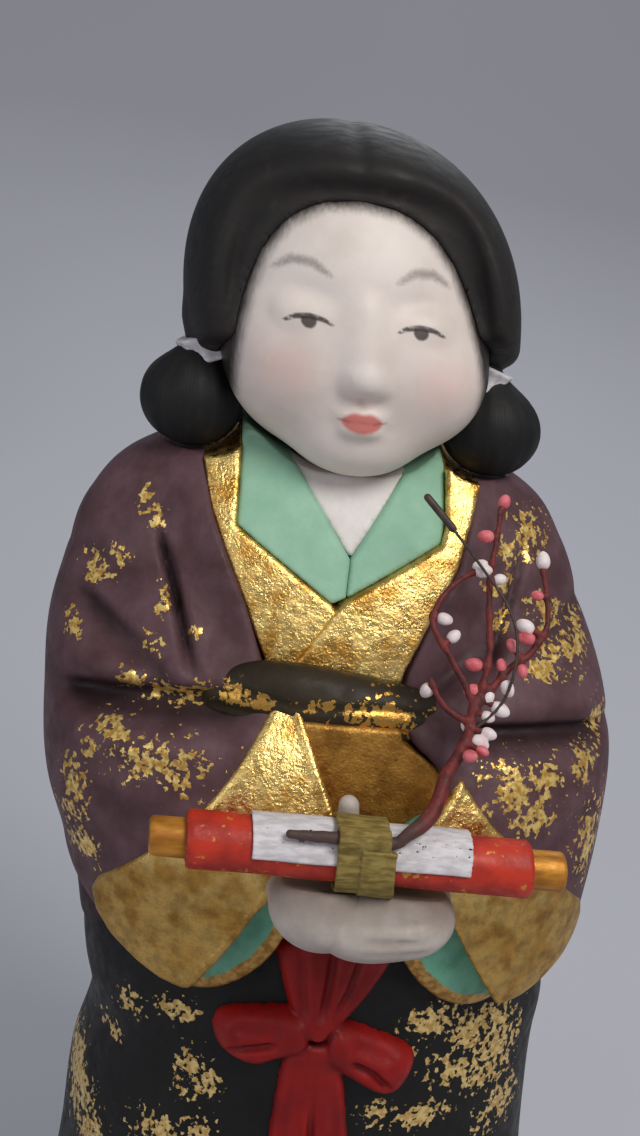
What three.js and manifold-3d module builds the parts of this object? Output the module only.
// A painted clay court doll that holds a tied scroll and a plum branch of wire.
// Millimetres, +Z up. The doll faces -Y and stands on the plane z = 0, with the neck axis over the origin.
import * as THREE from "three";
import { mergeVertices } from "three/addons/utils/BufferGeometryUtils.js";
import Module from "manifold-3d";

const wasm = await Module();
wasm.setup();

// Clearances and walls
const SEAT_GAP = 0.3;
const TURN_GAP = 0.6;
const CLAY_WALL = 4.5;
const SEAM_Y = 2;

// Lean of the finished doll: its right side stands higher above the skirt, and its head is drawn that way
const LEAN = 0.05;
const LEAN_FOOT = 30;
const HEAD_LEAN = 0.075;
const HEAD_LEAN_RISE = 16;

// Skirt: height, widths and depths, with the train drawn out behind
const SKIRT_HEIGHT = 84;
const HEM_WIDTH = 92;
const HEM_FRONT = 37;
const TRAIN_DEPTH = 50;
const HEM_ROLL_HEIGHT = 8;
const HEM_ROLL_SWELL = 0.5;
const KNEE_HEIGHT = 46;
const KNEE_WIDTH = 88;
const KNEE_FRONT = 33.8;
const KNEE_BACK = 35;
const KNEE_SHIFT = 1;
const HIP_WIDTH = 83;
const HIP_FRONT = 31.5;
const HIP_BACK = 28.5;
const HIP_SHIFT = 2.3;
const FOLD_COUNT = 8;
const HEM_FOLD = 1;
const KNEE_FOLD = 0.8;
const FOLD_FREE = 0.5;
const APRON_RISE = 16;
const APRON_WIDTH = 74;
const APRON_FRONT = 29;
const APRON_BACK = 26;
const BASE_THICKNESS = 4;
const VENT_DIAMETER = 9;
const VENT_Y = 22;

// Robe, measured up from the top of the skirt
const ROBE_HEM_WIDTH = 87;
const ROBE_HEM_BACK = 30;
const ROBE_HEM_SHIFT = 2.2;
const ELBOW_RISE = 38;
const ELBOW_WIDTH = 93;
const ELBOW_FRONT = 25.5;
const ELBOW_BACK = 30;
const ELBOW_SHIFT = 1.2;
const CHEST_RISE = 62;
const CHEST_WIDTH = 89.4;
const CHEST_FRONT = 22.5;
const CHEST_BACK = 27;
const CHEST_SHIFT = -0.6;
const SHOULDER_RISE = 76;
const SHOULDER_WIDTH = 80;
const SHOULDER_FRONT = 17;
const SHOULDER_BACK = 23;
const SHOULDER_SHIFT = -1.1;
const YOKE_RISE = 84;
const YOKE_WIDTH = 68;
const YOKE_FRONT = 12;
const YOKE_BACK = 17.5;
const ROBE_RISE = 90.5;
const COLLAR_WIDTH = 44;
const COLLAR_FRONT = 6.8;
const COLLAR_BACK = 10;
const NECK_BLOCK = 25.5;

// Collars, from the skin outwards, as thickness over the robe
const CHEST_SKIN = 0.9;
const INNER_COLLAR = 1.7;
const LAPEL = 2.7;
const ROBE_EDGE = 3.7;
const COLLAR_BACK_TUCK = 3;
const COLLAR_BACK_HEIGHT = 8;
const COLLAR_BACK_WIDTH = 40;
const V_CENTRE = -1;
const SKIN_V_RISE = 16;
const COLLAR_V_RISE = 9.5;
const LAPEL_CROSSING_X = -7;
const LAPEL_RIGHT_FOOT_X = -13;
const NECKLINE_OVER = 5.5;

// Sleeves, measured up from the top of the skirt, centred on the joined hands
const ARMS_CENTRE = 3;
const SLEEVE_WALL = 3.5;
const BORDER_PROUD = 0.6;
const LINING_THICKNESS = 2;
const SLEEVE_FOOT_DROP = 6;
const SLEEVE_FOOT_WIDTH = 80;
const SLEEVE_FOOT_FRONT = 35;
const SLEEVE_FOOT_SHIFT = 3;
const SLEEVE_LOW_RISE = 8;
const SLEEVE_LOW_WIDTH = 91.6;
const SLEEVE_LOW_FRONT = 38.5;
const SLEEVE_LOW_SHIFT = 2.8;
const WRIST_RISE = 29;
const WRIST_WIDTH = 98.6;
const WRIST_FRONT = 40.3;
const WRIST_SHIFT = 1.8;
const FOREARM_RISE = 44;
const FOREARM_WIDTH = 98.6;
const FOREARM_FRONT = 36.5;
const FOREARM_SHIFT = 1.2;
const UPPER_ARM_RISE = 57;
const UPPER_ARM_WIDTH = 94.8;
const UPPER_ARM_FRONT = 27.5;
const UPPER_ARM_SHIFT = 0;
const SLEEVE_TOP_RISE = 68;
const SLEEVE_TOP_WIDTH = 87;
const SLEEVE_TOP_FRONT = 20.4;
const SLEEVE_TOP_SHIFT = -1;
const SLEEVE_BACK = 21;
const SLEEVE_END_Y = 6;
const CREASE_WIDTH = 2.8;
const CREASE_DEPTH = 2.2;

// Sash and the panel under it
const SASH_RISE = 47;
const SASH_HEIGHT = 10;
const SASH_WIDTH = 44;
const SASH_ROLL = 11.4;
const SASH_THICKNESS = 7.6;
const SASH_SHIFT = -0.7;
const PANEL_DROP = 1;
const PANEL_DEPTH = 14;
const PANEL_WIDTH = 18;
const PANEL_FOOT_WIDTH = 4;
const PANEL_THICKNESS = 10;

// Hands under the scroll
const HAND_LENGTH = 17;
const HAND_DEPTH = 14;
const HAND_HEIGHT = 15;
const HAND_SPREAD = 7;
const HAND_TUCK = 2.5;
const HAND_GRIP = 2.5;
const WRIST_SPREAD = 12;
const WRIST_TUCK = 9;
const WRIST_LENGTH = 17.6;
const WRIST_DIAMETER = 11;
const THUMB_DIAMETER = 4.4;
const THUMB_LENGTH = 22;

// Scroll
const SCROLL_SHIFT = -1.4;
const SCROLL_LENGTH = 63;
const ROD_DIAMETER = 6;
const ROLL_LENGTH = 52.2;
const ROLL_DIAMETER = 8.8;
const WRAPPER_LENGTH = 33;
const WRAPPER_THICKNESS = 0.6;
const WRAPPER_EDGE_HIGH = 0.02;
const WRAPPER_EDGE_LOW = 1.3;
const BAND_LENGTH = 8;
const BAND_THICKNESS = 0.6;
const SCROLL_RISE = 35;
const STEM_TAIL = 11.2;
const STEM_LEAD = 1.5;
const STEM_LEAN = 0.76;

// Bow on the skirt front, heights measured down from the top of the skirt
const KNOT_DROP = 4;
const KNOT_WIDTH = 9;
const KNOT_HEIGHT = 10;
const KNOT_CORNER = 2;
const KNOT_THICKNESS = 5.5;
const LOOP_LENGTH = 14;
const LOOP_HEIGHT = 10;
const LOOP_MOUTH = 0.63;
const LEFT_LOOP_DROOP = 0.32;
const LOOP_THICKNESS = 4;
const UPPER_RIBBON_HEIGHT = 12;
const UPPER_RIBBON_WIDTH = 20;
const UPPER_RIBBON_LEAN = 2;
const UPPER_RIBBON_THICKNESS = 3;
const TAIL_LENGTH = 52;
const TAIL_TOP_WIDTH = 4.5;
const TAIL_FOOT_WIDTH = 8.5;
const TAIL_THICKNESS = 2.4;
const BOW_CENTRE = -1;

// Head, measured up from the top of the robe
const CHIN_RISE = -4.5;
const HEAD_HEIGHT = 52;
const HEAD_WIDTH = 47;
const HEAD_WALL = 6;
const CHIN_WIDTH = 14;
const CHIN_ROUND = 1;
const JAW_WIDTH = 36;
const JAW_RISE = 9;
const EYE_RISE = 26;
const CROWN_WIDTH = 37.6;
const CROWN_DROP = 8.3;
const NECK_DIAMETER = 16;
const NECK_DEPTH = 14.5;
const PEG_DIAMETER = 8;
const PEG_LENGTH = 34;
const PEG_IN_HEAD = 16;
const SOCKET_WALL = 2;
const NOSE_RISE = 16;
const NOSE_WIDTH = 5;
const NOSE_HEIGHT = 7;
const NOSE_DEPTH = 5;
const NOSE_PROUD = 2.1;

// Hair
const HAIR_WIDTH = 57.2;
const HAIR_DEPTH = 60;
const HAIR_HEIGHT = 59.6;
const HAIR_TOP_COVER = 3;
const HAIR_BACK_SHIFT = 1.5;
const HAIRLINE_RISE = 42;
const HAIRLINE_WIDTH = 39;
const HAIRLINE_ARCH = 22.4;
const HAIR_BAND = 2.2;
const RIDGE_RISE = 45.6;
const RIDGE_WIDTH = 45;
const RIDGE_ARCH = 21;
const NAPE_SLOPE = 0.37;
const NAPE_RISE = 15;
const BUNCH_SPREAD = 25;
const BUNCH_SHIFT = -1.2;
const BUNCH_FORWARD = 5;
const BUNCH_RISE = 9;
const BUNCH_WIDTH = 16.8;
const BUNCH_DEPTH = 15.8;
const BUNCH_HEIGHT = 16.4;
const TIE_DIAMETER = 11;
const TIE_HEIGHT = 3.6;
const TIE_BACK = 2;
const TIE_TILT = 0.35;

// Branch, whose place is counted from the middle of the scroll
const BRANCH_SHIFT = 1.4;
const BRANCH_FORWARD = 0.6;
const BRANCH_DROP = 1.5;
const STEM_DIAMETER = 1.8;
const TWIG_DIAMETER = 0.9;
const WIRE_DIAMETER = 0.7;
const SHEATH_DIAMETER = 1.1;
const PINK_BUD = 2.4;
const WHITE_BUD = 2.8;
const BUD_STRETCH = 1.25;

// How finely round shapes are cut
const AROUND = 32;
const SKIRT_AROUND = 64;
const SECTION_STEPS = 2;
const ROUND = 20;
const FINE = 12;
const BUD_AROUND = 8;
const TUBE_SEGMENTS = 3;
const STEM_STEPS = 26;
const TWIG_STEPS = 12;
const SHEATH_STEPS = 4;
const BODY_SQUARENESS = 2.25;
const SLEEVE_SQUARENESS = 2.7;
const MERGE = 1e-4;
const FAR = 2 * (SKIRT_HEIGHT + ROBE_RISE + HEAD_HEIGHT);

// Heights that several pieces share
const ROBE_BASE = SKIRT_HEIGHT;
const ROBE_TOP = ROBE_BASE + ROBE_RISE;
const SASH_BOTTOM = ROBE_BASE + SASH_RISE;
const SASH_TOP = SASH_BOTTOM + SASH_HEIGHT;
const CHIN = ROBE_TOP + CHIN_RISE;
const CROWN = CHIN + HEAD_HEIGHT;
const HEAD_LEAN_FOOT = CHIN + HEAD_LEAN_RISE;
const NECK_BOTTOM = ROBE_TOP - NECK_DEPTH;
const HAIR_CENTRE = CROWN + HAIR_TOP_COVER - HAIR_HEIGHT / 2;
const SCROLL_X = ARMS_CENTRE + SCROLL_SHIFT;
const SCROLL_AXIS_Z = ROBE_BASE + SCROLL_RISE;
const PAPER_DIAMETER = ROLL_DIAMETER + 2 * (SEAT_GAP + WRAPPER_THICKNESS);
const BAND_DIAMETER = PAPER_DIAMETER + 2 * (SEAT_GAP + BAND_THICKNESS);
const SCROLL_AXIS_Y = -(WRIST_FRONT + BORDER_PROUD + SEAT_GAP + BAND_DIAMETER / 2);
const STEM_OFFSET = PAPER_DIAMETER / 2 + SEAT_GAP + STEM_DIAMETER / 2;

// Neckline lines, x to the doll's left, from the skin outwards
const NECKLINE_TOP = ROBE_TOP + NECKLINE_OVER;
const SKIN_V = [V_CENTRE, SASH_TOP + SKIN_V_RISE];
const COLLAR_V = [V_CENTRE, SASH_TOP + COLLAR_V_RISE];
const LAPEL_CROSSING = [LAPEL_CROSSING_X, SASH_TOP];
const LAPEL_RIGHT_FOOT = [LAPEL_RIGHT_FOOT_X, SASH_TOP];
const SKIN_LINE = [[7.4, NECKLINE_TOP], [6.8, ROBE_TOP - 7.5]];
const COLLAR_LINE = [[16.6, NECKLINE_TOP], [16.4, ROBE_TOP - 14]];
const LAPEL_LINE = [[24.5, NECKLINE_TOP], [22, ROBE_TOP - 16.5], [15.5, SASH_TOP + 9]];
const LAPEL_LEFT_FOOT = [9.5, SASH_TOP];
const EDGE_LINE = [[31, NECKLINE_TOP], [28.5, ROBE_TOP - 18.5], [23, SASH_TOP + 7], [17, SASH_TOP]];

// Sleeve lines on the doll's left, x from the joined hands, z above the top of the skirt
const OPENING_LINE = [[8.5, 49], [3.5, 38], [3.5, 31], [14.5, 24.5], [20, 16.5], [24.5, 10.8], [30, 3]];
const BORDER_LINE = [[16, 49], [23.6, 37], [33.2, 27], [44.6, 16.4]];
const SLEEVE_RIM = [[54, 25], [66, 36], [66, 66], [30, 66], [18.5, 58]];
const LINING_LINE = [[5, 34], [5, 24], [9.5, 12.5], [12.4, 7.8], [16, 4], [20.3, 1.2], [26, 0.2]];
const LINING_RIM = [[34, 5], [44, 14], [60, 36], [30, 46]];
const CREASE_LINE = [[18, 48.9], [27, 49.2], [34, 48.9], [40, 48.2], [47, 46.9]];

// Level sections of the three body forms: width, depth in front and behind, sideways shift, depth of folds
const section = (z, width, front, back, shift, fold = 0) => (
  { z, half: width / 2, front, back, shift, fold });
const behindApron = (front) => front - CLAY_WALL - SEAT_GAP;

const SKIRT_SECTIONS = [
  section(0, HEM_WIDTH, HEM_FRONT, TRAIN_DEPTH, 0, HEM_FOLD),
  section(
    HEM_ROLL_HEIGHT, HEM_WIDTH + 2 * HEM_ROLL_SWELL,
    HEM_FRONT + HEM_ROLL_SWELL, TRAIN_DEPTH - HEM_ROLL_SWELL, 0, HEM_FOLD),
  section(KNEE_HEIGHT, KNEE_WIDTH, KNEE_FRONT, KNEE_BACK, KNEE_SHIFT, KNEE_FOLD),
  section(SKIRT_HEIGHT, HIP_WIDTH, HIP_FRONT, HIP_BACK, HIP_SHIFT),
  section(SKIRT_HEIGHT + APRON_RISE, APRON_WIDTH, APRON_FRONT, APRON_BACK, HIP_SHIFT),
];
const ROBE_SECTIONS = [
  section(ROBE_BASE, ROBE_HEM_WIDTH, behindApron(HIP_FRONT), ROBE_HEM_BACK, ROBE_HEM_SHIFT),
  section(
    ROBE_BASE + APRON_RISE, (ROBE_HEM_WIDTH + ELBOW_WIDTH) / 2, behindApron(APRON_FRONT), ROBE_HEM_BACK,
    (ROBE_HEM_SHIFT + ELBOW_SHIFT) / 2),
  section(ROBE_BASE + ELBOW_RISE, ELBOW_WIDTH, ELBOW_FRONT, ELBOW_BACK, ELBOW_SHIFT),
  section(ROBE_BASE + CHEST_RISE, CHEST_WIDTH, CHEST_FRONT, CHEST_BACK, CHEST_SHIFT),
  section(ROBE_BASE + SHOULDER_RISE, SHOULDER_WIDTH, SHOULDER_FRONT, SHOULDER_BACK, SHOULDER_SHIFT),
  section(ROBE_BASE + YOKE_RISE, YOKE_WIDTH, YOKE_FRONT, YOKE_BACK, SHOULDER_SHIFT),
  section(ROBE_TOP, COLLAR_WIDTH, COLLAR_FRONT, COLLAR_BACK, SHOULDER_SHIFT),
];
const sleeveSection = (rise, width, front, shift) =>
  section(ROBE_BASE + rise, width, front, SLEEVE_BACK, shift);
const SLEEVE_SECTIONS = [
  sleeveSection(-SLEEVE_FOOT_DROP, SLEEVE_FOOT_WIDTH, SLEEVE_FOOT_FRONT, SLEEVE_FOOT_SHIFT),
  sleeveSection(SLEEVE_LOW_RISE, SLEEVE_LOW_WIDTH, SLEEVE_LOW_FRONT, SLEEVE_LOW_SHIFT),
  sleeveSection(WRIST_RISE, WRIST_WIDTH, WRIST_FRONT, WRIST_SHIFT),
  sleeveSection(FOREARM_RISE, FOREARM_WIDTH, FOREARM_FRONT, FOREARM_SHIFT),
  sleeveSection(UPPER_ARM_RISE, UPPER_ARM_WIDTH, UPPER_ARM_FRONT, UPPER_ARM_SHIFT),
  sleeveSection(SLEEVE_TOP_RISE, SLEEVE_TOP_WIDTH, SLEEVE_TOP_FRONT, SLEEVE_TOP_SHIFT),
];

// Colours
const paint = (color, roughness, metalness = 0) =>
  new THREE.MeshStandardMaterial({ color, roughness, metalness });
const BLACK_CLAY = paint(0x1c1a1b, 0.7);
const PURPLE_CLAY = paint(0x5f4856, 0.75);
const WHITE_CLAY = paint(0xe9e6df, 0.6);
const GREEN_CLAY = paint(0x86bda0, 0.75);
const GOLD_LEAF = paint(0x8a7440, 0.45, 0.6);
const SASH_CLAY = paint(0x302a1d, 0.65, 0.2);
const RED_CLAY = paint(0x9c1a17, 0.6);
const HAIR_CLAY = paint(0x141a1c, 0.55);
const PEG_WOOD = paint(0xb59468, 0.8);
const ROD_WOOD = paint(0xb98a3a, 0.5, 0.3);
const ROLL_RED = paint(0xb4341c, 0.6);
const WHITE_PAPER = paint(0xe6e2d6, 0.9);
const BAND_PAPER = paint(0x8d7a3f, 0.6, 0.3);
const STEM_BROWN = paint(0x4a231b, 0.8);
const WIRE_BROWN = paint(0x3a2b22, 0.6);
const PINK_CLAY = paint(0xc9606e, 0.7);

// Closed solid of a geometry, with its shared points merged
function solid(geometry) {
  const bare = new THREE.BufferGeometry();
  bare.setAttribute("position", geometry.getAttribute("position"));
  bare.setIndex(geometry.getIndex());
  const merged = mergeVertices(bare, MERGE);
  const index = merged.getIndex().array;
  const kept = [];
  for (let i = 0; i < index.length; i += 3) {
    const [a, b, c] = [index[i], index[i + 1], index[i + 2]];
    if (a !== b && b !== c && c !== a) kept.push(a, b, c);
  }
  const vertProperties = new Float32Array(merged.getAttribute("position").array);
  return new wasm.Manifold(new wasm.Mesh({ numProp: 3, vertProperties, triVerts: new Uint32Array(kept) }));
}

// Largest piece of a solid that a cut has left in several
const largest = (body) => body.decompose().reduce((a, b) => (b.volume() > a.volume() ? b : a));

// Points of the finished doll, which leans
function leaned(points) {
  const out = new Float32Array(points);
  for (let i = 0; i < out.length; i += 3) {
    const [x, z] = [points[i], points[i + 2]];
    out[i] -= HEAD_LEAN * Math.max(z - HEAD_LEAN_FOOT, 0);
    out[i + 2] -= LEAN * x * THREE.MathUtils.smoothstep(z, LEAN_FOOT, SKIRT_HEIGHT);
  }
  return out;
}

// Named mesh of a solid
function piece(name, body, material) {
  const cut = largest(body).getMesh();
  const geometry = new THREE.BufferGeometry();
  geometry.setAttribute("position", new THREE.BufferAttribute(leaned(cut.vertProperties), 3));
  geometry.setIndex(new THREE.BufferAttribute(new Uint32Array(cut.triVerts), 1));
  geometry.computeVertexNormals();
  const mesh = new THREE.Mesh(geometry, material);
  mesh.name = name;
  return mesh;
}

// Box between two corners
function block(low, high) {
  const size = new THREE.Vector3(...high).sub(new THREE.Vector3(...low));
  const geometry = new THREE.BoxGeometry(size.x, size.y, size.z);
  geometry.translate((low[0] + high[0]) / 2, (low[1] + high[1]) / 2, (low[2] + high[2]) / 2);
  return solid(geometry);
}

// Ellipsoid given by its full sizes
function ellipsoid(centre, sizes, around = ROUND) {
  const geometry = new THREE.SphereGeometry(0.5, around, around / 2);
  geometry.rotateX(Math.PI / 2);
  geometry.scale(...sizes);
  geometry.translate(...centre);
  return solid(geometry);
}

// Upright round bar, turned about the Y axis by tilt
function post(centre, diameter, height, tilt = 0, around = ROUND) {
  const geometry = new THREE.CylinderGeometry(diameter / 2, diameter / 2, height, around);
  geometry.rotateX(Math.PI / 2);
  geometry.rotateY(tilt);
  geometry.translate(...centre);
  return solid(geometry);
}

// Round bar along X
function bar(centre, diameter, length, around = ROUND) {
  const geometry = new THREE.CylinderGeometry(diameter / 2, diameter / 2, length, around);
  geometry.rotateZ(Math.PI / 2);
  geometry.translate(...centre);
  return solid(geometry);
}

// Outline with every side moved in
function inset(points, by) {
  const clockwise = THREE.ShapeUtils.area(points) < 0;
  const ordered = clockwise ? [...points].reverse() : points;
  const inward = (from, to) => new THREE.Vector2(from.y - to.y, to.x - from.x).normalize();
  return ordered.map((point, i) => {
    const before = ordered[(i + ordered.length - 1) % ordered.length];
    const after = ordered[(i + 1) % ordered.length];
    const first = inward(before, point);
    const second = inward(point, after);
    const step = first.clone().add(second).multiplyScalar(by / (1 + first.dot(second)));
    return point.clone().add(step);
  });
}

// Front-facing prism over an outline of x and z
function prism(points, { from = -FAR, to = 0, gap = SEAT_GAP / 2 } = {}) {
  const outline = inset(points.map(([x, z]) => new THREE.Vector2(x, z)), gap);
  const geometry = new THREE.ExtrudeGeometry(new THREE.Shape(outline), {
    depth: to - from,
    bevelEnabled: false,
  });
  geometry.rotateX(Math.PI / 2);
  geometry.translate(0, to, 0);
  return solid(geometry);
}

// Rounded level ring of a body form, with folds at its sides and back
function ring({ z, half, front, back, shift, fold }, grow, { squareness, around }) {
  const bend = (value) => Math.sign(value) * Math.abs(value) ** (2 / squareness);
  return Array.from({ length: around }, (_, i) => {
    const turn = ((i + 0.5) / around) * 2 * Math.PI;
    const depth = Math.sin(turn) < 0 ? front : back;
    const loose = THREE.MathUtils.smoothstep(Math.sin(turn), -FOLD_FREE, FOLD_FREE);
    const out = grow + fold * loose * Math.cos(FOLD_COUNT * turn);
    return new THREE.Vector3(
      shift + bend(Math.cos(turn)) * (half + out), bend(Math.sin(turn)) * (depth + out), z);
  });
}

// Solid through rings of the same count, closed by flat ends
function loft(rings) {
  const count = rings[0].length;
  const points = rings.flat();
  const index = [];
  for (let row = 0; row < rings.length - 1; row += 1) {
    for (let i = 0; i < count; i += 1) {
      const a = row * count + i;
      const b = row * count + ((i + 1) % count);
      index.push(a, b, b + count, a, b + count, a + count);
    }
  }
  const last = (rings.length - 1) * count;
  for (let i = 1; i < count - 1; i += 1) {
    index.push(0, i + 1, i);
    index.push(last, last + i, last + i + 1);
  }
  const geometry = new THREE.BufferGeometry().setFromPoints(points);
  geometry.setIndex(index);
  return solid(geometry);
}

// Body form through its sections, grown all round, with its ends moved by below and above
function bodyForm(sections, shape, grow = 0, below = grow, above = grow) {
  const heights = sections.map((s) => s.z);
  const keys = ["half", "front", "back", "shift", "fold"];
  const curve = new THREE.CubicInterpolant(
    heights, sections.flatMap((s) => keys.map((key) => s[key])), keys.length);
  const [bottom, top] = [heights[0], heights.at(-1)];
  const at = (z) => {
    const values = curve.evaluate(THREE.MathUtils.clamp(z, bottom, top));
    return { z, ...Object.fromEntries(keys.map((key, i) => [key, values[i]])) };
  };
  const [low, high] = [bottom - below, top + above];
  const stops = [low, ...heights.slice(1, -1).filter((z) => z > low && z < high), high];
  const levels = stops.slice(1).flatMap((to, i) => Array.from(
    { length: SECTION_STEPS }, (_, step) => stops[i] + ((to - stops[i]) * step) / SECTION_STEPS));
  return loft([...levels, high].map((z) => ring(at(z), grow, shape)));
}
const SKIRT_SHAPE = { squareness: BODY_SQUARENESS, around: SKIRT_AROUND };
const ROBE_SHAPE = { squareness: BODY_SQUARENESS, around: AROUND };
const SLEEVE_SHAPE = { squareness: SLEEVE_SQUARENESS, around: AROUND };
const skirtForm = (...grow) => bodyForm(SKIRT_SECTIONS, SKIRT_SHAPE, ...grow);
const robeForm = (...grow) => bodyForm(ROBE_SECTIONS, ROBE_SHAPE, ...grow);
const sleeveForm = (...grow) => bodyForm(SLEEVE_SECTIONS, SLEEVE_SHAPE, ...grow);

// Layer that lies on a form, inside a region
const layer = (form, from, to, region) => form(to).intersect(region).subtract(form(from));

// Front and back half of a moulded hollow
const frontHalf = (body) => body.intersect(block([-FAR, -FAR, -FAR], [FAR, SEAM_Y - SEAT_GAP / 2, FAR]));
const backHalf = (body) => body.intersect(block([-FAR, SEAM_Y + SEAT_GAP / 2, -FAR], [FAR, FAR, FAR]));

// Outline mirrored to the doll's other side
const mirrored = (points) => points.map(([x, z]) => [-x, z]);

// Head and neck forms, and the space that they and the bunches sweep as the head turns
function headProfile(grow) {
  const curve = new THREE.SplineCurve([
    new THREE.Vector2(0, CHIN - grow),
    new THREE.Vector2(CHIN_WIDTH / 2 + grow, CHIN + CHIN_ROUND - grow),
    new THREE.Vector2(JAW_WIDTH / 2 + grow, CHIN + JAW_RISE - grow / 2),
    new THREE.Vector2(HEAD_WIDTH / 2 + grow, CHIN + EYE_RISE),
    new THREE.Vector2(CROWN_WIDTH / 2 + grow, CROWN - CROWN_DROP + grow / 2),
    new THREE.Vector2(0, CROWN + grow),
  ]);
  return curve.getPoints(ROUND / 2).map((p) => new THREE.Vector2(Math.max(p.x, 0), p.y));
}
function lathe(points, around = AROUND) {
  const geometry = new THREE.LatheGeometry(points, around);
  geometry.rotateX(Math.PI / 2);
  return solid(geometry);
}
const headForm = (grow = 0) => lathe(headProfile(grow));
function neckForm(grow = 0) {
  const top = CHIN + JAW_RISE;
  const bottom = NECK_BOTTOM - grow;
  return post([0, 0, (top + bottom) / 2], NECK_DIAMETER + 2 * grow, top - bottom);
}
const BUNCH_Z = CHIN + BUNCH_RISE;
function bunchSweep() {
  const reach = Math.hypot(BUNCH_SPREAD, BUNCH_FORWARD);
  const across = Math.max(BUNCH_WIDTH, BUNCH_DEPTH) / 2 + Math.abs(BUNCH_SHIFT) + TURN_GAP;
  const up = BUNCH_HEIGHT / 2 + TURN_GAP;
  const oval = new THREE.EllipseCurve(reach, BUNCH_Z, across, up);
  return lathe(oval.getPoints(FINE * 2));
}
const TURNING_SPACE = headForm(TURN_GAP).add(neckForm(TURN_GAP)).add(bunchSweep());

// Skirt halves, hollow, with the apron in front of the robe
const skirtShell = skirtForm(0, 0, 0)
  .subtract(skirtForm(-CLAY_WALL, 1, 1))
  .subtract(robeForm(SEAT_GAP));

// Base plate set into the skirt, with a vent hole
function basePlate() {
  const plug = skirtForm(-CLAY_WALL - SEAT_GAP, 0, 0);
  const slab = block([-FAR, -FAR, 0], [FAR, FAR, BASE_THICKNESS]);
  return plug.intersect(slab).subtract(post([0, VENT_Y, 0], VENT_DIAMETER, 4 * BASE_THICKNESS));
}

// Robe halves, hollow, with the neck hole and the bore of the peg socket
const SOCKET_DIAMETER = PEG_DIAMETER + 2 * SEAT_GAP + 2 * SOCKET_WALL;
const PEG_BOTTOM = NECK_BOTTOM + PEG_IN_HEAD - PEG_LENGTH;
const SOCKET_TOP = NECK_BOTTOM - SEAT_GAP;
const SOCKET_LENGTH = SOCKET_TOP - PEG_BOTTOM;
const socketBore = (grow) => post(
  [0, 0, SOCKET_TOP - SOCKET_LENGTH / 2], SOCKET_DIAMETER + 2 * grow, SOCKET_LENGTH + 2 * grow);
const robeShell = robeForm(0, 0, 0)
  .subtract(robeForm(-CLAY_WALL, 1, -NECK_BLOCK))
  .subtract(TURNING_SPACE)
  .subtract(socketBore(SEAT_GAP));
const neckSocket = socketBore(0).subtract(
  post([0, 0, SOCKET_TOP], PEG_DIAMETER + 2 * SEAT_GAP, 4 * SOCKET_LENGTH));

// Collars that lie on the robe, each between two lines of the neckline
const between = (inner, outer) => [...inner, ...[...outer].reverse()];
const chestOutline = between([...SKIN_LINE, SKIN_V], mirrored(SKIN_LINE));
const collarLeftOutline = between([...SKIN_LINE, SKIN_V], [...COLLAR_LINE, COLLAR_V]);
const collarRightOutline = between(
  [...mirrored(SKIN_LINE), SKIN_V], [...mirrored(COLLAR_LINE), COLLAR_V]);
const lapelLeftOutline = between(
  [...COLLAR_LINE, COLLAR_V, LAPEL_CROSSING], [...LAPEL_LINE, LAPEL_LEFT_FOOT]);
const lapelRightOutline = between(
  [...mirrored(COLLAR_LINE), COLLAR_V, LAPEL_CROSSING], [...mirrored(LAPEL_LINE), LAPEL_RIGHT_FOOT]);
const edgeLeftOutline = between([...LAPEL_LINE, LAPEL_LEFT_FOOT], EDGE_LINE);
const edgeRightOutline = between([...mirrored(LAPEL_LINE), LAPEL_RIGHT_FOOT], mirrored(EDGE_LINE));
const onRobe = (outline, thickness) =>
  layer(robeForm, SEAT_GAP, thickness, prism(outline, { to: COLLAR_BACK_TUCK }))
    .subtract(TURNING_SPACE)
    .subtract(bothSleeves);
function collarBack() {
  const half = COLLAR_BACK_WIDTH / 2;
  const region = block(
    [-half, COLLAR_BACK_TUCK + SEAT_GAP, ROBE_TOP - COLLAR_BACK_HEIGHT], [half, FAR, NECKLINE_TOP]);
  return layer(robeForm, SEAT_GAP, ROBE_EDGE, region).subtract(TURNING_SPACE);
}

// Sleeves, their gold borders and green linings
const placed = (points, side) => points.map(([x, rise]) => [ARMS_CENTRE + side * x, ROBE_BASE + rise]);
const clearOfBody = (body) => body.subtract(robeForm(SEAT_GAP)).subtract(skirtForm(SEAT_GAP));

function sleeveCrease(side) {
  const moved = (by) => CREASE_LINE.slice(1, -1).map(([x, z]) => [x, z + by]);
  const upper = [CREASE_LINE[0], ...moved(CREASE_WIDTH / 2), CREASE_LINE.at(-1)];
  const region = prism(placed(between(upper, moved(-CREASE_WIDTH / 2)), side), { gap: 0 });
  return layer(sleeveForm, -CREASE_DEPTH, BORDER_PROUD, region);
}
function sleeve(side) {
  const region = prism(placed([...BORDER_LINE, ...SLEEVE_RIM], side), { to: SLEEVE_END_Y });
  return clearOfBody(layer(sleeveForm, -SLEEVE_WALL, 0, region)).subtract(sleeveCrease(side));
}
function sleeveBorder(side) {
  const region = prism(placed(between(OPENING_LINE, BORDER_LINE), side));
  return clearOfBody(layer(sleeveForm, -SLEEVE_WALL, BORDER_PROUD, region));
}
function sleeveLining(side) {
  const region = prism(placed([...LINING_LINE, ...LINING_RIM], side));
  const inner = -SLEEVE_WALL - SEAT_GAP;
  return clearOfBody(layer(sleeveForm, inner - LINING_THICKNESS, inner, region));
}
const sleeveSpace = sleeveForm(BORDER_PROUD + SEAT_GAP)
  .subtract(sleeveForm(-SLEEVE_WALL - LINING_THICKNESS - 2 * SEAT_GAP));
const sleeveCut = (side) => sleeveSpace.intersect(
  prism(placed([...OPENING_LINE, BORDER_LINE.at(-1), ...SLEEVE_RIM], side), { gap: -SEAT_GAP }));
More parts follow.
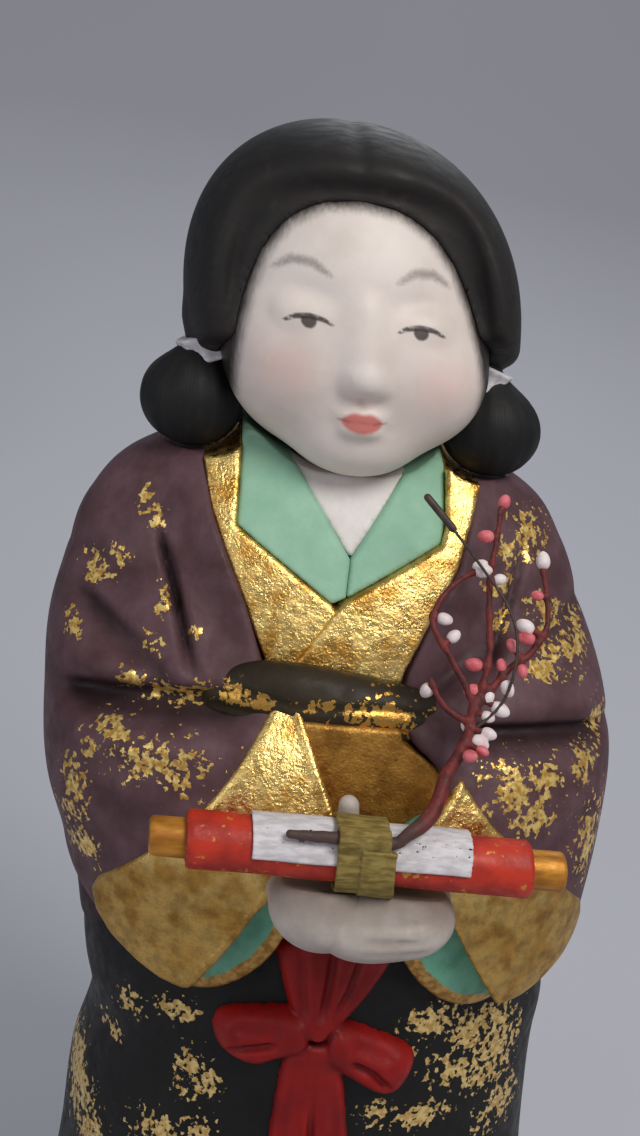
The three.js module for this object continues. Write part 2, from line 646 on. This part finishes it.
const liningCut = (side) => sleeveSpace.intersect(
  prism(placed([...LINING_LINE, ...LINING_RIM], side), { gap: -SEAT_GAP }));
const bothSleeves = sleeveCut(1).add(sleeveCut(-1));
const bothLinings = liningCut(1).add(liningCut(-1));

// Sash, a soft roll over the lapels' feet, and the panel below it, between the sleeves
function sash() {
  const middle = (SASH_BOTTOM + SASH_TOP) / 2;
  const roll = ellipsoid([SASH_SHIFT, -(ELBOW_FRONT + CHEST_FRONT) / 2 - SASH_THICKNESS / 2, middle],
    [SASH_WIDTH, 2 * SASH_THICKNESS, SASH_ROLL]);
  const belowLapels = block([-FAR, -FAR, SASH_BOTTOM], [FAR, 0, SASH_TOP - SEAT_GAP]);
  return roll.intersect(belowLapels).subtract(robeForm(SEAT_GAP))
    .add(roll.subtract(robeForm(ROBE_EDGE + SEAT_GAP)))
    .subtract(bothSleeves);
}
function frontPanel() {
  const [half, foot] = [PANEL_WIDTH / 2, PANEL_FOOT_WIDTH / 2];
  const top = SASH_RISE - PANEL_DROP;
  const low = SASH_RISE - PANEL_DEPTH;
  const outline = placed([[-half, top], [half, top], [foot, low], [-foot, low]], 1);
  return layer(robeForm, SEAT_GAP, PANEL_THICKNESS, prism(outline)).subtract(bothSleeves);
}

// Hands, joined under the scroll, each with its wrist in the sleeve and its thumb behind the scroll
const HAND_Z = SCROLL_AXIS_Z - PAPER_DIAMETER / 2 - HAND_HEIGHT / 2 + HAND_GRIP;
const scrollSpace = bar([SCROLL_X, SCROLL_AXIS_Y, SCROLL_AXIS_Z],
  BAND_DIAMETER + 2 * SEAT_GAP, SCROLL_LENGTH);
function hand(side) {
  const x = ARMS_CENTRE + side * HAND_SPREAD;
  const handY = SCROLL_AXIS_Y + HAND_TUCK;
  const palm = ellipsoid([x, handY, HAND_Z], [HAND_LENGTH, HAND_DEPTH, HAND_HEIGHT]);
  const wrist = ellipsoid([ARMS_CENTRE + side * WRIST_SPREAD, handY + WRIST_TUCK, HAND_Z],
    [WRIST_DIAMETER, WRIST_LENGTH, WRIST_DIAMETER], FINE);
  const thumbX = ARMS_CENTRE + (side * (THUMB_DIAMETER - SEAT_GAP)) / 2;
  const thumbY = SCROLL_AXIS_Y + BAND_DIAMETER / 2 + THUMB_DIAMETER / 2;
  const thumb = ellipsoid([thumbX, thumbY, SCROLL_AXIS_Z + BAND_DIAMETER / 2 - THUMB_LENGTH / 2],
    [THUMB_DIAMETER, THUMB_DIAMETER, THUMB_LENGTH], FINE);
  const middle = ARMS_CENTRE + (side * SEAT_GAP) / 2;
  const halfSpace = side > 0
    ? block([middle, -FAR, -FAR], [FAR, FAR, FAR])
    : block([-FAR, -FAR, -FAR], [middle, FAR, FAR]);
  return palm.add(wrist).intersect(halfSpace).add(thumb.intersect(halfSpace))
    .subtract(scrollSpace)
    .subtract(bothSleeves)
    .subtract(bothLinings)
    .subtract(skirtForm(SEAT_GAP))
    .subtract(robeForm(SEAT_GAP + PANEL_THICKNESS));
}

// Bow and ribbons on the front of the skirt
const KNOT_Z = SKIRT_HEIGHT - KNOT_DROP;
const onSkirt = (outline, thickness) =>
  layer(skirtForm, SEAT_GAP, thickness, prism(outline)).subtract(bothLinings);
function bowKnot() {
  const [w, h] = [KNOT_WIDTH / 2, KNOT_HEIGHT / 2];
  const [inW, inH] = [w - KNOT_CORNER, h - KNOT_CORNER];
  const outline = [[-w, -inH], [-inW, -h], [inW, -h], [w, -inH], [w, inH], [inW, h], [-inW, h], [-w, inH]];
  return onSkirt(outline.map(([x, z]) => [BOW_CENTRE + x, KNOT_Z + z]), KNOT_THICKNESS);
}
function bowLoop(side) {
  const end = Math.PI - LOOP_MOUTH;
  const centre = KNOT_WIDTH / 2 + (Math.cos(LOOP_MOUTH) * LOOP_LENGTH) / 2;
  const oval = new THREE.EllipseCurve(centre, 0, LOOP_LENGTH / 2, LOOP_HEIGHT / 2, -end, end);
  const outline = oval.getPoints(FINE).map((p) => {
    const droop = side > 0 ? LEFT_LOOP_DROOP * p.x : 0;
    return [BOW_CENTRE + side * p.x, KNOT_Z + p.y - droop];
  });
  return onSkirt(outline, LOOP_THICKNESS);
}
function upperRibbon() {
  const foot = KNOT_Z + KNOT_HEIGHT / 2;
  const [top, low] = [UPPER_RIBBON_WIDTH / 2, KNOT_WIDTH / 2];
  const outline = [[-low, foot], [low, foot], [UPPER_RIBBON_LEAN + top, foot + UPPER_RIBBON_HEIGHT],
    [UPPER_RIBBON_LEAN - top, foot + UPPER_RIBBON_HEIGHT]];
  return onSkirt(outline.map(([x, z]) => [BOW_CENTRE + x, z]), UPPER_RIBBON_THICKNESS);
}
function ribbonTail(side) {
  const top = KNOT_Z - KNOT_HEIGHT / 2;
  const foot = top - TAIL_LENGTH;
  const outline = [[0, top], [TAIL_TOP_WIDTH, top], [TAIL_FOOT_WIDTH, foot], [0, foot]];
  return onSkirt(outline.map(([x, z]) => [BOW_CENTRE + side * x, z]), TAIL_THICKNESS);
}

// Head with its neck, hollow above the bore for the peg
const PEG_TOP = NECK_BOTTOM + PEG_IN_HEAD;
const pegBore = post([0, 0, PEG_TOP + SEAT_GAP - PEG_LENGTH / 2], PEG_DIAMETER + 2 * SEAT_GAP, PEG_LENGTH);
function headHollow() {
  const wide = HEAD_WIDTH - 2 * HEAD_WALL;
  const low = PEG_TOP + HEAD_WALL;
  const high = CROWN - HEAD_WALL;
  const middle = (low + high) / 2;
  const room = ellipsoid([0, 0, middle], [wide, wide, high - low]);
  return room.add(post([0, 0, (PEG_TOP + middle) / 2], PEG_DIAMETER, middle - PEG_TOP));
}
function head() {
  const nose = ellipsoid([0, NOSE_DEPTH / 2 - HEAD_WIDTH / 2 - NOSE_PROUD, CHIN + NOSE_RISE],
    [NOSE_WIDTH, NOSE_DEPTH, NOSE_HEIGHT], FINE);
  return headForm().add(neckForm()).add(nose).subtract(pegBore).subtract(headHollow());
}
const neckPeg = post([0, 0, PEG_TOP - PEG_LENGTH / 2], PEG_DIAMETER, PEG_LENGTH);

// Hair cap with the face opening, and the bunches tied at the ears
const hairForm = (grow = 0) => ellipsoid([0, HAIR_BACK_SHIFT, HAIR_CENTRE],
  [HAIR_WIDTH + 2 * grow, HAIR_DEPTH + 2 * grow, HAIR_HEIGHT + 2 * grow]);
const TIE_Z = BUNCH_Z + BUNCH_HEIGHT / 2;
const tie = (side, grow = 0) => post(
  [BUNCH_SHIFT + side * BUNCH_SPREAD, -TIE_BACK, TIE_Z],
  TIE_DIAMETER + 2 * grow, TIE_HEIGHT + 2 * grow, side * TIE_TILT, FINE * 2).subtract(headForm(SEAT_GAP));
function aboveNape(drop) {
  const geometry = new THREE.BoxGeometry(2 * FAR, 2 * FAR, FAR);
  geometry.translate(0, 0, FAR / 2);
  geometry.rotateX(-Math.atan(NAPE_SLOPE));
  geometry.translate(0, 0, CHIN + NAPE_RISE - drop);
  return solid(geometry);
}
function faceOpening(rise, width, arch) {
  const curve = new THREE.EllipseCurve(0, CHIN + rise - arch, width / 2, arch, 0, Math.PI);
  const outline = curve.getPoints(FINE).map((p) => [p.x, p.y]);
  return prism([...outline, [-width / 2, NECK_BOTTOM], [width / 2, NECK_BOTTOM]], { gap: 0 });
}
const hairMass = hairForm().subtract(faceOpening(RIDGE_RISE, RIDGE_WIDTH, RIDGE_ARCH));
const hairBand = headForm(HAIR_BAND).subtract(faceOpening(HAIRLINE_RISE, HAIRLINE_WIDTH, HAIRLINE_ARCH));
const hairCap = hairMass.add(hairBand)
  .intersect(aboveNape(0))
  .subtract(headForm(SEAT_GAP))
  .subtract(tie(1, SEAT_GAP))
  .subtract(tie(-1, SEAT_GAP));
function hairBunch(side) {
  const lump = ellipsoid([BUNCH_SHIFT + side * BUNCH_SPREAD, -BUNCH_FORWARD, BUNCH_Z],
    [BUNCH_WIDTH, BUNCH_DEPTH, BUNCH_HEIGHT]);
  return lump
    .subtract(headForm(SEAT_GAP))
    .subtract(hairForm(SEAT_GAP).intersect(aboveNape(SEAT_GAP * Math.hypot(1, NAPE_SLOPE))))
    .subtract(tie(side, SEAT_GAP));
}

// Scroll: rod, roll, white wrapper open along the front, and the band round it and the stem
const scrollPoint = (x, offset = 0, lean = STEM_LEAN) => [
  SCROLL_X + x, SCROLL_AXIS_Y - offset * Math.cos(lean), SCROLL_AXIS_Z + offset * Math.sin(lean)];
const onAxis = scrollPoint(0);
const scrollRod = bar(onAxis, ROD_DIAMETER, SCROLL_LENGTH);
const scrollRoll = bar(onAxis, ROLL_DIAMETER, ROLL_LENGTH)
  .subtract(bar(onAxis, ROD_DIAMETER + 2 * SEAT_GAP, SCROLL_LENGTH));
function scrollWrapper() {
  const paper = bar(onAxis, PAPER_DIAMETER, WRAPPER_LENGTH)
    .subtract(bar(onAxis, ROLL_DIAMETER + 2 * SEAT_GAP, SCROLL_LENGTH));
  const edge = (turn) => new THREE.Vector2(-Math.cos(turn), -Math.sin(turn)).multiplyScalar(PAPER_DIAMETER);
  const wedge = new THREE.Shape([new THREE.Vector2(0, 0), edge(WRAPPER_EDGE_HIGH), edge(WRAPPER_EDGE_LOW)]);
  const geometry = new THREE.ExtrudeGeometry(wedge, { depth: SCROLL_LENGTH, bevelEnabled: false });
  geometry.rotateY(Math.PI / 2);
  geometry.rotateX(Math.PI / 2);
  geometry.translate(onAxis[0] - SCROLL_LENGTH / 2, onAxis[1], onAxis[2]);
  return paper.subtract(solid(geometry));
}
const stemCentre = scrollPoint(0, STEM_OFFSET);
function scrollBand() {
  const inner = PAPER_DIAMETER + 2 * SEAT_GAP;
  const tunnel = STEM_DIAMETER + 2 * SEAT_GAP;
  const outside = bar(onAxis, inner + 2 * BAND_THICKNESS, BAND_LENGTH)
    .add(bar(stemCentre, tunnel + 2 * BAND_THICKNESS, BAND_LENGTH, FINE));
  return outside
    .subtract(bar(onAxis, inner, SCROLL_LENGTH))
    .subtract(bar(stemCentre, tunnel, SCROLL_LENGTH, FINE));
}

// Branch: routes from foot to tip, measured on the finished doll from the branch's place
const route = (points) => new THREE.CatmullRomCurve3(points.map((p) => new THREE.Vector3(...p)));
function tube(points, diameter, steps) {
  const circle = new THREE.Shape().absarc(0, 0, diameter / 2, 0, 2 * Math.PI);
  const geometry = new THREE.ExtrudeGeometry(circle, {
    steps, curveSegments: TUBE_SEGMENTS, bevelEnabled: false, extrudePath: route(points) });
  return solid(geometry);
}
const fromScroll = (points) => points.map(([x, y, z]) => {
  const across = onAxis[0] + BRANCH_SHIFT + x;
  return [across, onAxis[1] - BRANCH_FORWARD + y, onAxis[2] - BRANCH_DROP + z + LEAN * across];
});
const stemRoute = [
  scrollPoint(-STEM_TAIL, STEM_OFFSET),
  scrollPoint(-BAND_LENGTH / 2, STEM_OFFSET),
  scrollPoint(0, STEM_OFFSET),
  scrollPoint(BAND_LENGTH / 2, STEM_OFFSET),
  scrollPoint(BAND_LENGTH / 2 + STEM_LEAD, STEM_OFFSET),
  ...fromScroll([[8.4, -2, 7.5], [10.2, 0.4, 10.8], [11, 2.5, 13.6], [12.7, 3.8, 16.2], [14.2, 5.3, 19.2],
    [15, 7, 22.5], [16.4, 8.4, 25.7]])];
function onward(before, points) {
  const start = new THREE.Vector3(...before.at(-1));
  const along = new THREE.Vector3(...points[0]).sub(start).normalize();
  return [start.addScaledVector(along, SEAT_GAP).toArray(), ...points];
}
const upperRoute = onward(stemRoute, fromScroll([[17.4, 10.4, 29.5], [17.6, 12, 32.2], [17.4, 14.5, 37.3],
  [17.6, 16.4, 41.5], [18.6, 19.1, 46.7], [19.2, 20.9, 50.5]]));
const leftRoute = fromScroll([[15.2, 7.4, 23.3], [12.2, 10, 28.6], [9.8, 11.7, 32], [8.6, 13, 34.5],
  [9.8, 14.5, 37.5], [12.2, 15.7, 40], [14.8, 16.6, 41.5]]);
const rightRoute = fromScroll([[15, 7, 22.5], [20.7, 10, 28.5], [23.8, 11, 30.5], [26.3, 12.7, 34],
  [26.6, 14.5, 37.5], [25.9, 16.8, 42.1]]);
const wireRoute = fromScroll([[14.2, 5.3, 19.2], [19.4, 6.6, 24.3], [21.4, 9.4, 31.3], [20.2, 12.4, 37.1],
  [15.6, 15.6, 43.1], [11.6, 19.4, 47.7]]);
const spurRoute = fromScroll([[11.8, 3.2, 15], [9.9, 6.4, 21.7], [8.4, 8.6, 25.9]]);
const sheathRoute = onward(wireRoute, fromScroll([[9.5, 20.9, 49.9], [7.7, 21.8, 51.8]]));
const stemSpace = tube(stemRoute, STEM_DIAMETER + 2 * SEAT_GAP, STEM_STEPS);
const twig = (points, diameter) => tube(points, diameter, TWIG_STEPS).subtract(stemSpace);

// Buds, each seated on the nearest point of its twig
const BUD_TWIGS = {
  stem: { points: stemRoute, diameter: STEM_DIAMETER },
  upper: { points: upperRoute, diameter: TWIG_DIAMETER },
  left: { points: leftRoute, diameter: TWIG_DIAMETER },
  right: { points: rightRoute, diameter: TWIG_DIAMETER },
};
const BUDS = [
  ["bud_pink_top", "upper", [19.8, 21.8, 51.5], PINK_BUD, PINK_CLAY],
  ["bud_pink_upper", "upper", [17.2, 18.8, 46.5], PINK_BUD, PINK_CLAY],
  ["bud_white_upper", "upper", [16.4, 17.8, 42.9], WHITE_BUD, WHITE_CLAY],
  ["bud_white_side", "upper", [19.6, 16.6, 39.9], WHITE_BUD, WHITE_CLAY],
  ["bud_pink_middle", "upper", [15.9, 9.4, 28.9], PINK_BUD, PINK_CLAY],
  ["bud_white_left", "left", [11.6, 9.4, 31.9], WHITE_BUD, WHITE_CLAY],
  ["bud_grey_left", "left", [9.6, 12, 35.5], PINK_BUD, WHITE_CLAY],
  ["bud_white_right", "right", [25.9, 18, 43.5], WHITE_BUD, WHITE_CLAY],
  ["bud_pink_right", "right", [25.6, 13.2, 37.9], PINK_BUD, PINK_CLAY],
  ["bud_pink_fork", "right", [22.8, 9.6, 28.5], PINK_BUD, PINK_CLAY],
  ["bud_white_low", "stem", [14.4, 4.2, 21.5], WHITE_BUD, WHITE_CLAY],
  ["bud_pink_large", "stem", [15, 3.4, 16.9], WHITE_BUD, PINK_CLAY],
];
function bud([name, place, towards, diameter, material]) {
  const { points, diameter: twigDiameter } = BUD_TWIGS[place];
  const aim = new THREE.Vector3(...fromScroll([towards])[0]);
  const nearest = route(points).getPoints(FINE * points.length)
    .reduce((a, b) => (b.distanceTo(aim) < a.distanceTo(aim) ? b : a));
  const away = aim.clone().sub(nearest).normalize();
  const reach = twigDiameter / 2 + SEAT_GAP + (diameter * BUD_STRETCH) / 2;
  const geometry = new THREE.SphereGeometry(diameter / 2, BUD_AROUND, BUD_AROUND - 2);
  geometry.scale(1, BUD_STRETCH, 1);
  geometry.applyQuaternion(new THREE.Quaternion().setFromUnitVectors(new THREE.Vector3(0, 1, 0), away));
  geometry.translate(...nearest.clone().addScaledVector(away, reach).toArray());
  return piece(name, solid(geometry), material);
}

// The doll
const doll = new THREE.Group();
const body = new THREE.Group();
body.add(
  piece("skirt_front", frontHalf(skirtShell), BLACK_CLAY),
  piece("skirt_back", backHalf(skirtShell), BLACK_CLAY),
  piece("base_plate", basePlate(), BLACK_CLAY),
  piece("robe_front", frontHalf(robeShell), PURPLE_CLAY),
  piece("robe_back", backHalf(robeShell), PURPLE_CLAY),
  piece("neck_socket", neckSocket, PEG_WOOD),
  piece("chest_insert", onRobe(chestOutline, CHEST_SKIN), WHITE_CLAY),
  piece("inner_collar_left", onRobe(collarLeftOutline, INNER_COLLAR), GREEN_CLAY),
  piece("inner_collar_right", onRobe(collarRightOutline, INNER_COLLAR), GREEN_CLAY),
  piece("lapel_left", onRobe(lapelLeftOutline, LAPEL), GOLD_LEAF),
  piece("lapel_right", onRobe(lapelRightOutline, LAPEL), GOLD_LEAF),
  piece("robe_edge_left", onRobe(edgeLeftOutline, ROBE_EDGE), PURPLE_CLAY),
  piece("robe_edge_right", onRobe(edgeRightOutline, ROBE_EDGE), PURPLE_CLAY),
  piece("collar_back", collarBack(), PURPLE_CLAY),
  piece("sash", sash(), SASH_CLAY),
  piece("front_panel", frontPanel(), GOLD_LEAF),
  piece("upper_ribbon", upperRibbon(), RED_CLAY),
  piece("bow_knot", bowKnot(), RED_CLAY),
);
for (const [word, side] of [["left", 1], ["right", -1]]) {
  body.add(
    piece(`sleeve_${word}`, sleeve(side), PURPLE_CLAY),
    piece(`sleeve_border_${word}`, sleeveBorder(side), GOLD_LEAF),
    piece(`sleeve_lining_${word}`, sleeveLining(side), GREEN_CLAY),
    piece(`hand_${word}`, hand(side), WHITE_CLAY),
    piece(`bow_loop_${word}`, bowLoop(side), RED_CLAY),
    piece(`ribbon_tail_${word}`, ribbonTail(side), RED_CLAY),
  );
}

const headGroup = new THREE.Group();
headGroup.add(
  piece("neck_peg", neckPeg, PEG_WOOD),
  piece("head", head(), WHITE_CLAY),
  piece("hair_cap", hairCap, HAIR_CLAY),
);
for (const [word, side] of [["left", 1], ["right", -1]]) {
  headGroup.add(
    piece(`hair_bunch_${word}`, hairBunch(side), HAIR_CLAY),
    piece(`hair_tie_${word}`, tie(side), WHITE_PAPER),
  );
}

const scroll = new THREE.Group();
scroll.add(
  piece("scroll_rod", scrollRod, ROD_WOOD),
  piece("scroll_roll", scrollRoll, ROLL_RED),
  piece("scroll_wrapper", scrollWrapper(), WHITE_PAPER),
  piece("scroll_band", scrollBand(), BAND_PAPER),
);

const branch = new THREE.Group();
branch.add(
  piece("branch_stem", tube(stemRoute, STEM_DIAMETER, STEM_STEPS), STEM_BROWN),
  piece("twig_upper", twig(upperRoute, TWIG_DIAMETER), STEM_BROWN),
  piece("twig_left", twig(leftRoute, TWIG_DIAMETER), WIRE_BROWN),
  piece("twig_right", twig(rightRoute, TWIG_DIAMETER), WIRE_BROWN),
  piece("twig_spur", twig(spurRoute, TWIG_DIAMETER), WIRE_BROWN),
  piece("twig_wire", twig(wireRoute, WIRE_DIAMETER), WIRE_BROWN),
  piece("wire_sheath", tube(sheathRoute, SHEATH_DIAMETER, SHEATH_STEPS), WIRE_BROWN),
  ...BUDS.map(bud),
);

doll.add(body, headGroup, scroll, branch);

export default doll;
